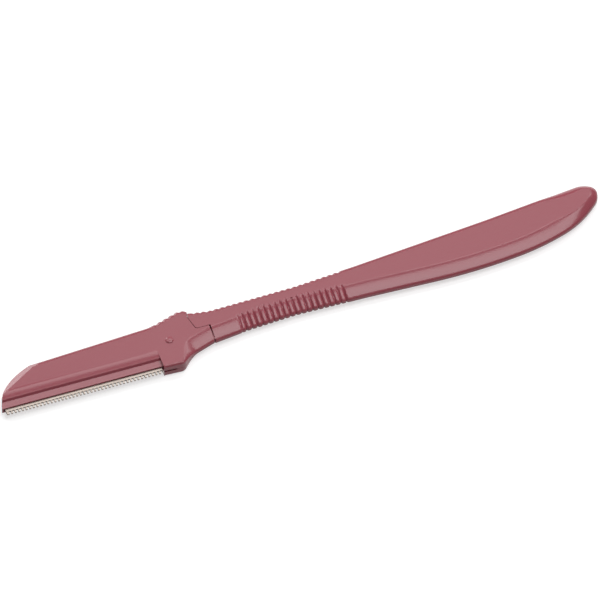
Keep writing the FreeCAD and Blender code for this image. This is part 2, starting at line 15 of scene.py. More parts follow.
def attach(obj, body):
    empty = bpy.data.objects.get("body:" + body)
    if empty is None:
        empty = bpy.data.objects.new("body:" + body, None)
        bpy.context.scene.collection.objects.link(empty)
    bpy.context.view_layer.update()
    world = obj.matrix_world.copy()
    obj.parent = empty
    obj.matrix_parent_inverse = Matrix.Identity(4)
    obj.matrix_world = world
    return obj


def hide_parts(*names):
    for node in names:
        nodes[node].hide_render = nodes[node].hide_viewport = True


MM = 0.001
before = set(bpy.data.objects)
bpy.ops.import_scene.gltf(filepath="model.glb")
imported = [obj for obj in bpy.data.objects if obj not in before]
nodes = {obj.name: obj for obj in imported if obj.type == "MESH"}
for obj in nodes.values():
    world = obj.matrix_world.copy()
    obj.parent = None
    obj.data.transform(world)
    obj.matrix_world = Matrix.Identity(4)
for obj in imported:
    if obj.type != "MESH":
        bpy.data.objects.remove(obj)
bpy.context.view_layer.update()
print("nodes:", sorted(nodes))

# %% [markdown]
# The camera stands where the photographer stood: low in front of the cutting edge, about 50 degrees above
# the table. It is far away and has a long lens, so that the razor keeps its proportions, and parallel edges
# stay parallel, as they do in the photograph.

# %% Camera
LOOK_AT = Vector((2.629, 1.3, 0)) * MM
TOWARD_CAMERA = Vector((-0.2122, -0.6067, 0.7660))
PICTURE_WIDTH = 600
DOTS_PER_MM = 4.41
FIELD_WIDTH = PICTURE_WIDTH / DOTS_PER_MM * MM
LENS = 1000
SENSOR = 36

lens_data = bpy.data.cameras.new("photo_camera")
lens_data.lens = LENS
lens_data.sensor_width = SENSOR
lens_data.clip_start = 0.1
lens_data.clip_end = 20
camera_distance = FIELD_WIDTH * LENS / SENSOR
photo_camera = bpy.data.objects.new("photo_camera", lens_data)
bpy.context.scene.collection.objects.link(photo_camera)
photo_camera.location = LOOK_AT + TOWARD_CAMERA.normalized() * camera_distance
photo_camera.rotation_euler = (-TOWARD_CAMERA).to_track_quat("-Z", "Y").to_euler()
bpy.context.scene.camera = photo_camera
print("camera at", [round(v, 3) for v in photo_camera.location])

# %% [markdown]
# Wiring a finish by hand takes many small nodes. Two helpers keep that readable. A Wire is one output of a
# node and knows arithmetic, so a mask can be written as a formula. A Finish is a material that is being
# wired, and its method node adds any node, sets it up and connects it.

# %% Helpers for wiring finishes
class Wire:
    """One output of a node, with arithmetic."""

    def __init__(self, finish, node, socket=0):
        self.finish = finish
        self.owner = node
        self.socket = node.outputs[socket] if node.outputs else None

    def out(self, name):
        return Wire(self.finish, self.owner, name)

    def math(self, operation, *values):
        return self.finish.node("ShaderNodeMath", {"operation": operation}, dict(enumerate(values)))

    def __add__(self, other):
        return self.math("ADD", self, other)

    __radd__ = __add__

    def __mul__(self, other):
        return self.math("MULTIPLY", self, other)

    __rmul__ = __mul__

    def ramp(self, low, high, start, end):
        """An S-curve: start where the wire is at low, end where it is at high."""
        settings = {"interpolation_type": "SMOOTHSTEP"}
        values = {"Value": self, "From Min": low, "From Max": high, "To Min": start, "To Max": end}
        return self.finish.node("ShaderNodeMapRange", settings, values)


class Finish:
    """A material that is being wired."""

    def __init__(self, name):
        self.material = bpy.data.materials.new(name)
        self.material.use_nodes = True
        self.tree = self.material.node_tree
        self.tree.nodes.clear()

    def node(self, kind, settings=None, values=None):
        made = self.tree.nodes.new(kind)
        for name, value in (settings or {}).items():
            setattr(made, name, value)
        for name, value in (values or {}).items():
            if isinstance(value, Wire):
                self.tree.links.new(value.socket, made.inputs[name])
            else:
                made.inputs[name].default_value = value
        return Wire(self, made)

    def place(self):
        return self.node("ShaderNodeTexCoord").out("Object")

    def noise(self, where, scale, detail):
        return self.node("ShaderNodeTexNoise", None, {"Vector": where, "Scale": scale, "Detail": detail})

    def mix(self, factor, first, second):
        settings = {"data_type": "RGBA"}
        values = {"Factor": factor, 6: first, 7: second}
        return self.node("ShaderNodeMix", settings, values).out(2)

    def bump(self, strength, distance, height):
        values = {"Strength": strength, "Distance": distance, "Height": height}
        return self.node("ShaderNodeBump", None, values)

    def done(self, shader):
        self.node("ShaderNodeOutputMaterial", None, {"Surface": shader})
        return self.material


def dye(red, green, blue):
    return (red, green, blue, 1.0)


print("wiring helpers ready")

# %% [markdown]
# The plastic is a rose polymer moulded with a fine gloss. Under the smooth skin the pigment is slightly
# uneven, and the gloss has a very slight waviness from the mould. Both are noise at two scales: the wide
# cloud drifts through the colour and the gloss, and the fine grain through the colour and the skin.

# %% Rose plastic
ROSE_DEEP, ROSE_PALE = dye(0.292, 0.061, 0.081), dye(0.300, 0.064, 0.084)
CLOUD_SCALE, GRAIN_SCALE = 90.0, 1400.0
GLOSS, GLOSS_DRIFT = 0.19, 0.05


def rose_plastic():
    finish = Finish("rose_gloss_plastic")
    where = finish.place()
    cloud = finish.noise(where, CLOUD_SCALE, detail=3.0)
    grain = finish.noise(where, GRAIN_SCALE, detail=2.0)
    tone = finish.mix(0.5 * cloud + 0.5 * grain, ROSE_DEEP, ROSE_PALE)
    skin = finish.bump(strength=0.06, distance=0.00004, height=grain)
    shader = finish.node("ShaderNodeBsdfPrincipled", None, {
        "Base Color": tone, "Roughness": GLOSS + GLOSS_DRIFT * cloud, "Normal": skin, "IOR": 1.5,
    })
    return finish.done(shader)


rose = rose_plastic()
print("finish:", rose.name)

# %% [markdown]
# The comb guard is folded from thin plated strip: warm, satin, with fine scratches along the strip. The
# blade behind it is plain steel, ground along its length. Both get painted shade along the very edge: a
# darker band that stands for the shade between the guard's teeth. The scratches are a noise that is
# stretched along the razor. All places in a finish are in metres, also the two values of Y between which
# the painted edge shade fades.

# %% Metals
ALONG_STRIP = (60.0, 4000.0, 4000.0)
SCRATCH_DRIFT = 0.1
STAIN_SCALE = 160.0
# Painted shade along the edge: the Y where it is full, the Y where it ends, and how dark it makes the tone.
EDGE_SHADE_FULL, EDGE_SHADE_NONE = -0.0096, -0.0092
EDGE_SHADE_FACTOR = 0.8


def strip_metal(name, dark, light, roughness):
    finish = Finish(name)
    where = finish.place()
    across_strip = finish.node("ShaderNodeSeparateXYZ", None, {0: where}).out("Y")
    stretched = finish.node("ShaderNodeMapping", None, {"Vector": where, "Scale": ALONG_STRIP})
    scratches = finish.noise(stretched, 1.0, detail=3.0)
    stain = finish.noise(where, STAIN_SCALE, detail=2.0)
    tone = finish.mix(stain, dye(*dark), dye(*light))
    # Painted shade: along the very edge the tone darkens, standing for the shade between the guard's teeth.
    painted_edge_shade = across_strip.ramp(EDGE_SHADE_FULL, EDGE_SHADE_NONE, 1.0, 0.0)
    tone = finish.mix(painted_edge_shade, tone, dye(*[EDGE_SHADE_FACTOR * part for part in dark]))
    skin = finish.bump(strength=0.08, distance=0.00003, height=scratches)
    roughness = roughness + SCRATCH_DRIFT * scratches
    shader = finish.node("ShaderNodeBsdfPrincipled", None, {
        "Base Color": tone, "Metallic": 1.0, "Roughness": roughness, "Normal": skin,
    })
    return finish.done(shader)


guard_finish = strip_metal("guard_satin_metal", (0.42, 0.36, 0.32), (0.48, 0.42, 0.37), roughness=0.36)
blade_finish = strip_metal("blade_ground_steel", (0.60, 0.58, 0.56), (0.66, 0.64, 0.62), roughness=0.34)
print("finishes:", guard_finish.name, blade_finish.name)

# %% [markdown]
# Most mouldings here are flat plates with a shaped outline. An outline is written as its corners, each with
# a rounding, and is turned into points that lie close together where the surface needs detail. The plate
# itself starts as a circle whose vertices are laid on those points, and is then extruded.

# %% Outlines
SAME_PLACE = 1e-6
FEWEST_STEPS = 4
UNDIVIDED = 50


def rounded_path(corners, spacing):
    """Points along a closed outline in millimetres. Each corner is (x, y) or (x, y, rounding)."""
    path = []
    count = len(corners)
    for i, corner in enumerate(corners):
        here = Vector(corner[:2])
        if len(corner) == 2:
            path.append(here)
            continue
        rounding = corner[2]
        back = (Vector(corners[i - 1][:2]) - here).normalized()
        ahead = (Vector(corners[(i + 1) % count][:2]) - here).normalized()
        half = back.angle(ahead) / 2
        centre = here + (back + ahead).normalized() * (rounding / math.sin(half))
        start = here + back * (rounding / math.tan(half)) - centre
        turn = math.pi - 2 * half
        side = 1 if back.cross(ahead) < 0 else -1
        steps = max(FEWEST_STEPS, math.ceil(rounding * turn / spacing(here)))
        for k in range(steps + 1):
            angle = side * turn * k / steps
            cos, sin = math.cos(angle), math.sin(angle)
            path.append(centre + Vector((start.x * cos - start.y * sin, start.x * sin + start.y * cos)))
    dense = []
    for here, after in zip(path, path[1:] + path[:1]):
        run = (after - here).length
        pieces = max(1, math.ceil(run / spacing((here + after) / 2)))
        if run > SAME_PLACE:
            dense.extend(here.lerp(after, k / pieces) for k in range(pieces))
    return dense


def undivided(point):
    """The spacing for a tool's outline, whose straight runs need no points between."""
    return UNDIVIDED


def flat(u, v, w):
    """Lays a plate on the table: its outline in X and Y, its thickness in Z."""
    return Vector((u, v, w)) * MM


def along_x(u, v, w):
    """Stands a section across the razor: its outline in Y and Z, its length in X."""
    return Vector((w, u, v)) * MM


# %% [markdown]
# Every operator works on what is selected, so a few helpers clear the selection and pick faces or edges by
# where they lie, as one would click them in the window.

# %% Modelling helpers
SAME_LEVEL = 1e-7
HAIR = 0.01


def only(piece):
    bpy.ops.object.select_all(action="DESELECT")
    piece.select_set(True)
    bpy.context.view_layer.objects.active = piece


def pick(piece, kind, test):
    """In edit mode with that kind of selection, selects the edges or faces that pass the test."""
    bpy.ops.object.mode_set(mode="EDIT")
    bpy.ops.mesh.select_mode(type=kind)
    bpy.ops.mesh.select_all(action="DESELECT")
    bpy.ops.object.mode_set(mode="OBJECT")
    found = 0
    for item in piece.data.edges if kind == "EDGE" else piece.data.polygons:
        item.select = test(item)
        found += item.select
    bpy.ops.object.mode_set(mode="EDIT")
    return found


def at_level(piece, edge, level):
    """Whether an edge lies flat at that height."""
    return all(abs(piece.data.vertices[i].co.z - level * MM) < SAME_LEVEL for i in edge.vertices)


def plate(name, points, low, high, lay=flat):
    """A prism on an outline, from one level to another."""
    bpy.ops.object.select_all(action="DESELECT")
    bpy.ops.mesh.primitive_circle_add(vertices=len(points), radius=0.01, fill_type="NGON")
    piece = bpy.context.active_object
    piece.name = name
    piece.data.name = name
    for vertex, point in zip(piece.data.vertices, points):
        vertex.co = lay(point[0], point[1], low)
    bpy.ops.object.mode_set(mode="EDIT")
    bpy.ops.mesh.select_all(action="SELECT")
    rise = lay(0, 0, high) - lay(0, 0, low)
    bpy.ops.mesh.extrude_region_move(TRANSFORM_OT_translate={"value": rise})
    bpy.ops.mesh.select_all(action="SELECT")
    bpy.ops.mesh.normals_make_consistent(inside=False)
    bpy.ops.object.mode_set(mode="OBJECT")
    return piece


def bevelled(width, segments):
    """Rounds the picked edges of the piece that is being edited."""
    bpy.ops.mesh.bevel(offset=width * MM, segments=segments, profile=0.5, clamp_overlap=False)
    bpy.ops.object.mode_set(mode="OBJECT")


def joined(piece, other, operation="DIFFERENCE"):
    """Cuts the other object from the piece, or adds it, and uses it up."""
    only(piece)
    change = piece.modifiers.new("shape", "BOOLEAN")
    change.operation = operation
    change.solver = "EXACT"
    change.object = other
    bpy.ops.object.modifier_apply(modifier="shape")
    bpy.data.objects.remove(other)


def polished(piece, finish, body, slot, *stands_for, angle=32):
    """Smooth shading that keeps the flat faces flat, then its finish and its body. The slot is not used."""
    only(piece)
    bpy.ops.object.shade_smooth_by_angle(angle=math.radians(angle))
    piece.modifiers.new("normals", "WEIGHTED_NORMAL").keep_sharp = True
    bpy.ops.object.modifier_apply(modifier="normals")
    piece.data.materials.clear()
    piece.data.materials.append(finish)
    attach(piece, body)
    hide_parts(*stands_for)
    size = [round(v / MM, 2) for v in piece.dimensions]
    print(piece.name, "faces", len(piece.data.polygons), "size", size)


# %% [markdown]
# The handle is one moulding with a full-round edge. Its outline runs from the end inside the head along the
# top, round the leaf-shaped tail and back below. The points lie close together along the two rows of grip
# ribs, because those are shaped later by moving vertices.

# %% Handle outline
THICK = 3.4
HALF = THICK / 2
HANDLE_CORNERS = [
    (-30.0, 5.162, 3.5), (-18.770, 3.270), (1.535, 3.658), (16.991, 4.821, 115.9), (49.545, 7.889, 199.9),
    (73.599, 10.649, 5.2), (76.883, 8.974, 2.25), (76.062, 5.471, 4.6), (69.735, -0.046, 23.96),
    (58.529, -3.534, 59.9), (42.300, -5.255, 130.4), (16.991, -4.185, 57.98), (-0.011, -3.844, 14.51),
    (-11.912, -4.542, 20.0), (-30.0, -6.815, 3.5),
]
GRIP_END, TAIL_TIP = 15.0, 72
GRIP_STEP, TIP_STEP, LEAF_STEP = 0.12, 0.25, 0.7


def handle_spacing(point):
    if point.x < GRIP_END:
        return GRIP_STEP
    return TIP_STEP if point.x > TAIL_TIP else LEAF_STEP


handle_path = rounded_path(HANDLE_CORNERS, handle_spacing)
print("handle outline points", len(handle_path))

# %% [markdown]
# On the real handle the lower edge isn't a plain round. Just below a soft crease the face falls away in a
# broad slope, which carries the long light band in the photograph, and only then it rolls over to the side.
# A bevel can't do that, so each row of its vertices is afterwards laid where a profile wants it: so far in
# from the nearest point of the outline, and so far below the face.

# %% Wider roundings
PROFILE = [
    (3.50, 0.0), (3.30, 0.018), (2.95, 0.085), (2.55, 0.19), (2.05, 0.345), (1.50, 0.535), (0.98, 0.735),
    (0.52, 0.94), (0.20, 1.13), (0.05, 1.33), (0.0, 1.60),
]
WIDE = PROFILE[0][0]
ROWS = len(PROFILE) - 1
NECK_TURN, TAIL_TURN = (-25.0, -21.0), (62, 74)
NARROWING, NARROWED_BY = (64, 75), 0.49
LEAF_X, LEAF_Y, LEAF_SLANT = 60, 3, 0.35


def clamped(share):
    return min(1, max(0, share))


def soften(low, high, at):
    """0 up to the first place, 1 from the second, and an S-curve between them."""
    share = clamped((at - low) / (high - low))
    return share * share * (3 - 2 * share)


def reshape_rim(piece, path, reach, wanted):
    """Lays the rows of a round bevel, whose width is reach, on the profile. For a point of the outline,
    wanted gives how far it goes there, from 0 for the plain round to 1, and how wide the profile is; or
    nothing where the rim stays as it is."""
    tree = KDTree(len(path))
    for i, point in enumerate(path):
        tree.insert((point.x, point.y, 0), i)
    tree.balance()
    moved = 0
    for vertex in piece.data.vertices:
        place = vertex.co / MM
        outer, away = (THICK, -1) if place.z > HALF else (0, 1)
        down = abs(place.z - outer)
        near, _, distance = tree.find((place.x, place.y, 0))
        fit = wanted(near)
        if down > reach + HAIR or distance > reach * 1.1 or not fit:
            continue
        share, width = fit
        row = math.acos(max(0, 1 - down / reach)) / (math.pi / 2) * ROWS
        k = min(ROWS - 1, int(row + 1e-4))
        part = min(1, row - k)
        inward = (PROFILE[k][0] * (1 - part) + PROFILE[k + 1][0] * part) * width
        deeper = PROFILE[k][1] * (1 - part) + PROFILE[k + 1][1] * part
        way = Vector((place.x - near.x, place.y - near.y)).normalized()
        inward = distance + (inward - distance) * share
        deeper = down + (deeper - down) * share
        vertex.co = Vector((near.x + way.x * inward, near.y + way.y * inward, outer + away * deeper)) * MM
        moved += 1
    print(piece.name, "rim points moved", moved)


def handle_rounding(point):
    """The profile runs along the lower edge from the collar on, and the upper edge takes it at the tail."""
    width = 1 - NARROWED_BY * soften(*NARROWING, point.x)
    leaf_middle = max(0, LEAF_Y + LEAF_SLANT * (point.x - LEAF_X))
    if point.y > leaf_middle:
        return soften(*TAIL_TURN, point.x), width
    return soften(*NECK_TURN, point.x), width


# %% [markdown]
# Extruding the outline gives a plate with sharp rims. Both rims are bevelled with a round profile that
# nearly meets in the middle, and laid on the wider profile. Narrow insets on the two flat faces then give
# the ribs rows of vertices to run out on. Along the lower grip each inset is widened, so that its rows
# reach further up the faces.

# %% Handle body
ROUND = 1.6
INSETS, INSET = 5, 0.02
ROW_STEP, ROWS_WIDE, ROWS_CLOSE = 0.33, 12.9, 14.5
MANY_CORNERS = 100

handle = plate("handle_moulding", handle_path, 0, THICK)
rims = pick(handle, "EDGE", lambda edge: at_level(handle, edge, 0) or at_level(handle, edge, THICK))
bevelled(ROUND, ROWS)
print("rim edges", rims, "faces", len(handle.data.polygons))
reshape_rim(handle, handle_path, ROUND, handle_rounding)

for level in (0, THICK):
    for step in range(INSETS):
        pick(handle, "FACE", lambda face: (len(face.vertices) > MANY_CORNERS
                                           and abs(face.center.z / MM - level) < HAIR))
        bpy.ops.mesh.inset(thickness=INSET * MM, depth=0, use_even_offset=False)
        bpy.ops.object.mode_set(mode="OBJECT")
        for vertex in handle.data.vertices:
            along = abs(vertex.co.x / MM)
            if vertex.select and vertex.co.y < 0 and along < GRIP_END:
                vertex.co.y += ROW_STEP * MM * soften(-ROWS_CLOSE, -ROWS_WIDE, -along)
print("faces with the grip's rows", len(handle.data.polygons))

# %% [markdown]
# The grip below is a row of rounded ribs between narrow grooves, which wrap round the edge and fade out as
# wedges on the faces. The grip above is a row of small beads. Both come from one profile along the edge, by
# which each vertex is pushed in: nothing at a rib's crest, most in the groove.

# %% Profiles of the grips
UPPER_PITCH, UPPER_FIRST, UPPER_LAST, UPPER_DEPTH = 1.45, -22.2, 12.6, 0.34
BEAD_SHARPNESS, BEAD_SPREAD = 1.5, 1.6


def groove(x, first, last, pitch, sharpness):
    """0 at the crests and 1 in the grooves of a row."""
    if x < first - pitch / 2 or x > last + pitch / 2:
        return 0
    off = abs((x - first) / pitch - round((x - first) / pitch))
    return (1 - 2 * off) ** sharpness


def edge_level(points, x, top):
    """Where the outline's upper or lower edge lies at one place along the razor."""
    best = None
    for here, after in zip(points, points[1:] + points[:1]):
        if (here.x - x) * (after.x - x) <= 0 and here.x != after.x:
            y = here.y + (after.y - here.y) * (x - here.x) / (after.x - here.x)
            if best is None or (y > best) == top:
                best = y
    if best is None:
        ends = sorted(points, key=lambda point: abs(point.x - x))[:2]
        best = (max if top else min)(point.y for point in ends)
    return best


def beaded(piece, path, first, last, pitch):
    """Pushes the upper rim in between its beads, most at the very edge and nothing on the faces."""
    levels = {}
    for vertex in piece.data.vertices:
        x, y = vertex.co.x / MM, vertex.co.y / MM
        if y < 0 or not first - pitch < x < last + pitch:
            continue
        x = round(x, 2)
        if x not in levels:
            levels[x] = edge_level(path, x, True)
        share = clamped((ROUND + y - levels[x]) / ROUND * BEAD_SPREAD)
        vertex.co.y -= UPPER_DEPTH * share * groove(x, first, last, pitch, BEAD_SHARPNESS) * MM
    print(piece.name, "beaded at", len(levels), "places")


# %% [markdown]
# The ribs' grooves run out on the faces, furthest in the middle of the grip and hardly at its two ends. A
# faint extra groove stands before the first rib.

# %% Handle grip
LOWER_PITCH, LOWER_REACH, LOWER_DEPTH = 1.34, 12.06, 0.36
RIB_SHARPNESS = 3.2
FAINT_PLACE, FAINT_PITCH, FAINT_SHARPNESS, FAINT_SHARE = -LOWER_REACH - 1.1, 1.0, 2.0, 0.5
END_RUN, MIDDLE_RUN = 0.35, 1.4

lower_levels = {}
normals = [vertex.normal.copy() for vertex in handle.data.vertices]
for vertex, normal in zip(handle.data.vertices, normals):
    x, y = round(vertex.co.x / MM, 2), vertex.co.y / MM
    if y > 0 or abs(x) > GRIP_END:
        continue
    if x not in lower_levels:
        lower_levels[x] = edge_level(handle_path, x, False)
    deep = groove(x, -LOWER_REACH, LOWER_REACH, LOWER_PITCH, RIB_SHARPNESS)
    faint = groove(x, FAINT_PLACE, FAINT_PLACE, FAINT_PITCH, FAINT_SHARPNESS)
    deep = max(deep, FAINT_SHARE * faint)
    run = END_RUN + MIDDLE_RUN * math.sin(math.pi * clamped((x / LOWER_REACH + 1) / 2))
    left = 1 - min(1, max(0, y - lower_levels[x] - WIDE) / run)
    vertex.co -= normal * LOWER_DEPTH * deep * left * left * MM
print("ribs shaped at", len(lower_levels), "places")
beaded(handle, handle_path, UPPER_FIRST, UPPER_LAST, UPPER_PITCH)

# %% [markdown]
# The tab that laps over the head, and the shoulder below it, are cut with a prism that has the seam's shape.
# The tongue that plugs into the head is a forked plate in the middle of the thickness. Between its tines is
# a round seat for the pin, with a mouth a little narrower than the seat. The tongue is joined to the
# moulding, because both are one shot of plastic.

# %% Handle seam and tongue
SEAM = [
    (-23.625, 8.0), (-23.625, 3.73), (-24.0, 2.1, 0.25), (-23.25, -1.45, 0.6), (-19.85, -1.45),
    (-19.85, -11.0), (-34.0, -11.0), (-34.0, 8.0),
]
PIN = Vector((-30.1, -2.8))
SEAT, MOUTH = 0.87, 0.81
SEAT_STEPS = 12
TONGUE_HALF = 0.75

joined(handle, plate("seam_block", rounded_path(SEAM, undivided), -1, THICK + 1))

mouth_angle = math.asin(MOUTH / SEAT)
seat_arc = []
for k in range(SEAT_STEPS + 1):
    angle = (math.pi - mouth_angle) * (1 - k / (SEAT_STEPS / 2))
    seat_arc.append(tuple(PIN + Vector((math.cos(angle), math.sin(angle))) * SEAT))
TONGUE = [(-18.25, 2.0), (-24.8, 2.0, 0.4), (-28.6, -1.0, 0.4), (-32.6, -1.0, 0.5), (-32.6, -1.99, 0.2)]
TONGUE += seat_arc
TONGUE += [(-32.6, -3.61, 0.2), (-32.6, -4.6, 0.5), (-20.12, -4.6), (-20.12, -4.98), (-18.25, -4.98)]
tongue = plate("tongue", rounded_path(TONGUE, undivided), HALF - TONGUE_HALF, HALF + TONGUE_HALF)
joined(handle, tongue, "UNION")
polished(handle, rose, "handle", "rose_plastic", "handle")

# %% [markdown]
# The blade head is two half shells that meet in the middle of the thickness. On the real one the rounding of
# the rim is as wide as the neck's at the collar and shrinks round the throat towards the heel. A bevel has
# one width along its whole run, so the throat's rim is bevelled at the heel's width, and is then laid on the
# handle's profile, little by little towards the collar.

# %% Head outline
HEEL, TIP, LIP, STEP, COLLAR = -33.7, -72.0, -8.75, -7.15, -20.2
HEAD_CORNERS = [
    (HEEL, LIP), (HEEL, -9.9), (-28.9, -10.15, 1.8), (-26.2, -7.5, 9.0), (COLLAR, -5.45), (COLLAR, 3.9),
    (-25.39, 5.47, 4.0), (-33.2, 2.95, 6.0), (-86.2, 0.05), (-86.2, LIP),
]
HUMP_STEP, SPINE_STEP = 0.13, 3.0
THROAT_TOP, THROAT_TURN = -3, (-29.0, -24.5)


def head_spacing(point):
    if point.x > COLLAR - HAIR:
        return UNDIVIDED
    return HUMP_STEP if point.x > HEEL - 1 else SPINE_STEP


def throat_rounding(point):
    if point.y > THROAT_TOP or point.x < HEEL + HAIR:
        return None
    return soften(*THROAT_TURN, point.x), 1


head_path = rounded_path(HEAD_CORNERS, head_spacing)
print("head outline points", len(head_path))

# %% [markdown]
# The two halves are mirror images, so one function makes both blanks. It rounds the spine's rim and the
# throat's, presses the grooves between the beads into the hump, and breaks the edges where the halves meet,
# which gives the fine parting line.

# %% Head blanks
SPINE_SEGMENTS, HEEL_ROUND, THROAT_EDGE, PARTING = 8, 0.6, -5, 0.06
HUMP_FIRST, HUMP_LAST, HUMP_PITCH = -31.285, -23.685, 1.52


def head_blank(name, side):
    """One half with its rims rounded and its hump beaded. The side is 1 for the front, -1 for the back."""
    outer = HALF + side * HALF
    low, high = sorted((HALF, outer))
    piece = plate(name, head_path, low, high)

    def spine_rim(edge):
        one, two = (piece.data.vertices[i].co for i in edge.vertices)
        runs_along = abs(one.x - two.x) > abs(one.y - two.y)
        return at_level(piece, edge, outer) and one.y + two.y > 0 and runs_along

    def throat_rim(edge):
        one, two = (piece.data.vertices[i].co for i in edge.vertices)
        middle = (one + two) / 2 / MM
        return at_level(piece, edge, outer) and middle.y < THROAT_EDGE and middle.x > HEEL + HAIR

    pick(piece, "EDGE", spine_rim)
    bevelled(ROUND, SPINE_SEGMENTS)
    pick(piece, "EDGE", throat_rim)
    bevelled(HEEL_ROUND, ROWS)
    reshape_rim(piece, head_path, HEEL_ROUND, throat_rounding)
    beaded(piece, head_path, HUMP_FIRST, HUMP_LAST, HUMP_PITCH)
    pick(piece, "EDGE", lambda edge: at_level(piece, edge, HALF))
    bevelled(PARTING, 1)
    print(name, "blank with", len(piece.data.polygons), "faces")
    return piece


front_shell = head_blank("head_front_moulding", 1)
back_shell = head_blank("head_back_moulding", -1)

# %% [markdown]
# The nose is an arc that leaves the spine smoothly. A flat slopes down to it on both faces: the light
# crescent at the tip. The arc is cut with a prism, and the slope with one bisecting plane that fills what it
# opens.

# %% Nose
NOSE_CENTRE, NOSE_RADIUS = Vector((-58.968, -11.883)), 13.403
NOSE_START, NOSE_END, NOSE_STEPS = math.radians(93.132), math.radians(166.48), 40
OUTSIDE_NOSE = [Vector(place) for place in ((TIP, -12), (-90, -12), (-90, 9), (-59.7, 9))]
SLOPE_X, SLOPE_Y = -65.05, -2.1
SLOPE_NORMAL = (-0.2575, 0.4286, 0.8660)

nose_arc = []
for k in range(NOSE_STEPS + 1):
    angle = NOSE_START + (NOSE_END - NOSE_START) * k / NOSE_STEPS
    nose_arc.append(NOSE_CENTRE + NOSE_RADIUS * Vector((math.cos(angle), math.sin(angle))))


def cut_nose(piece, side):
    joined(piece, plate("nose_block", nose_arc + OUTSIDE_NOSE, -1, THICK + 1))
    pick(piece, "FACE", lambda face: True)
    place = Vector((SLOPE_X, SLOPE_Y, HALF + side * HALF)) * MM
    along, up, out = SLOPE_NORMAL
    bpy.ops.mesh.bisect(plane_co=place, plane_no=(along, up, out * side), use_fill=True, clear_outer=True)
    bpy.ops.object.mode_set(mode="OBJECT")
    print(piece.name, "nose cut,", len(piece.data.polygons), "faces")


cut_nose(front_shell, 1)
cut_nose(back_shell, -1)

# %% [markdown]
# Along the blade each shell steps down to a strip, and the step's upper edge rolls over softly. So the tool
# that cuts the recess has a section with an arc, which leaves the face level and gets steeper towards the
# step.

# %% Tools for the head's cuts
ROLL_RUN, ROLL_TILT, ROLL_END, ROLL_STEPS = 2.4, math.radians(15), STEP + 0.35, 12
ROLL = ROLL_RUN / math.sin(ROLL_TILT)
STRIP_EDGE, STRIP_LOW, STRIP_HIGH, ABOVE = -10.75, 0.51, 0.85, 3.7


def roll_points(side):
    turn = [math.pi / 2 + ROLL_TILT * k / ROLL_STEPS for k in range(ROLL_STEPS + 1)]
    arc = [(ROLL_END + ROLL_RUN + ROLL * math.cos(a), HALF - ROLL + ROLL * math.sin(a)) for a in turn]
    section = [(STRIP_EDGE, ABOVE), (ROLL_END + ROLL_RUN, ABOVE)] + arc
    section += [(STEP, STRIP_HIGH), (STRIP_EDGE, STRIP_LOW)]
    return [Vector((y, HALF + side * height)) for y, height in section]


def circle_points(x, y, radius, count=32):
    return [Vector((x + radius * math.cos(a), y + radius * math.sin(a)))
            for a in (2 * math.pi * k / count for k in range(count))]


def box_points(u0, v0, u1, v1):
    return [Vector(p) for p in ((u0, v0), (u1, v0), (u1, v1), (u0, v1))]


# %% [markdown]
# The blade and the guard's leaves sit in a slot between the shells. The other cuts are the slit under the
# heel, the pocket for the tongue, the seam that the handle's tab fills, and the pin's hole. The back shell
# has two pegs, on which the blade hangs by its holes, and the front shell has sockets for them. Depths are
# counted from the plane where the halves meet, and every tool starts a little beyond that plane.

# %% Head cuts
POCKET = [(-18.2, 2.06), (-24.86, 2.06), (-28.66, -0.94), (-32.66, -0.94), (-32.66, -4.66), (-18.2, -4.66)]
HEAD_SEAM = [
    (-23.745, 7.33), (-23.745, 3.73), (-24.12, 2.1, 0.25), (-23.36, -1.57, 0.6), (-18.2, -1.57),
    (-18.2, 7.33),
]
BEYOND_TIP, SLOT_FIRST, SLOT_LAST = -74, -71.66, HEEL - 0.06
LEAF_LOW, LEAF_HIGH, BLADE_LOW, BLADE_HIGH = -11, -7.19, -7.3, -4.67
HEEL_SLIT = (-36, -12, -30.7, -8.65)
LEAF_DEPTH, BLADE_DEPTH, SLIT_DEPTH, POCKET_DEPTH, BEYOND = 0.335, 0.155, 0.22, 0.81, 0.5
PIN_HOLE = 0.78
PEG_PLACES = [(-66.0, -5.9), (-39.7, -5.9)]
PEG, PEG_ROOT, PEG_RISE, PEG_SIDES = 0.65, 0.8, 0.9, 20
SOCKET, SOCKET_DEPTH = 0.68, 0.96


def cut_head(piece, side):
    def span(depth):
        return sorted((HALF - side * BEYOND, HALF + side * depth))

    def carve(name, points, low, high, lay=flat):
        joined(piece, plate(name, points, low, high, lay))

    carve("recess", roll_points(side), BEYOND_TIP, HEEL, along_x)
    low, high = span(LEAF_DEPTH)
    carve("leaf_slot", box_points(LEAF_LOW, low, LEAF_HIGH, high), SLOT_FIRST, SLOT_LAST, along_x)
    low, high = span(BLADE_DEPTH)
    carve("blade_slot", box_points(BLADE_LOW, low, BLADE_HIGH, high), SLOT_FIRST, SLOT_LAST, along_x)
    carve("heel_slit", box_points(*HEEL_SLIT), *span(SLIT_DEPTH))
    carve("tongue_pocket", [Vector(p) for p in POCKET], *span(POCKET_DEPTH))
    carve("tab_place", rounded_path(HEAD_SEAM, undivided), -1, THICK + 1)
    carve("pin_hole", circle_points(*PIN, PIN_HOLE), -1, THICK + 1)
    for x, y in PEG_PLACES:
        if side > 0:
            carve("socket", circle_points(x, y, SOCKET, PEG_SIDES), HALF - BEYOND, HALF + SOCKET_DEPTH)
        else:
            peg = plate("peg", circle_points(x, y, PEG, PEG_SIDES), HALF - PEG_ROOT, HALF + PEG_RISE)
            joined(piece, peg, "UNION")
    only(piece)
    bpy.ops.object.mode_set(mode="EDIT")
    bpy.ops.mesh.select_all(action="SELECT")
    bpy.ops.mesh.remove_doubles(threshold=0.0005 * MM)
    bpy.ops.object.mode_set(mode="OBJECT")


